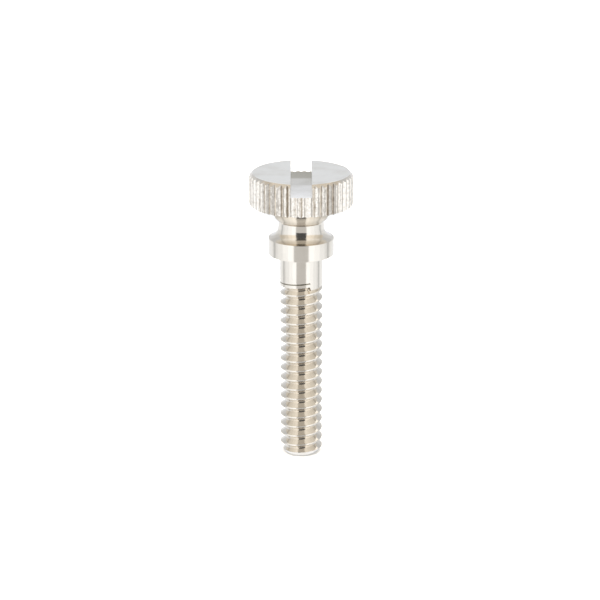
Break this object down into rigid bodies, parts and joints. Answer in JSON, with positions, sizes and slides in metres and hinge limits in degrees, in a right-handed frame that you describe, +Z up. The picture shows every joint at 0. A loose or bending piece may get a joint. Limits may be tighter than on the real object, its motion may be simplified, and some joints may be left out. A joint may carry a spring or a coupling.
{
  "type": "lyre screw",
  "caption": "Slotted thumbscrew with a knurled head, coned underside, neck, collar, plain shank and right-hand thread, for clamping a music lyre in its socket.",
  "frame": {"origin": "centre of the flat end face, which the screw stands on", "axes": "+Z up the screw's axis from the end face to the head, +Y along the driver slot"},
  "size_m": [0.0082, 0.0082, 0.0234],
  "materials": {
    "nickel_plate": "bright nickel plating over brass, warm silver, polished with faint turning marks"
  },
  "bodies": {
    "root": {"lyre_screw": "nickel_plate"}
  },
  "joints": []
}
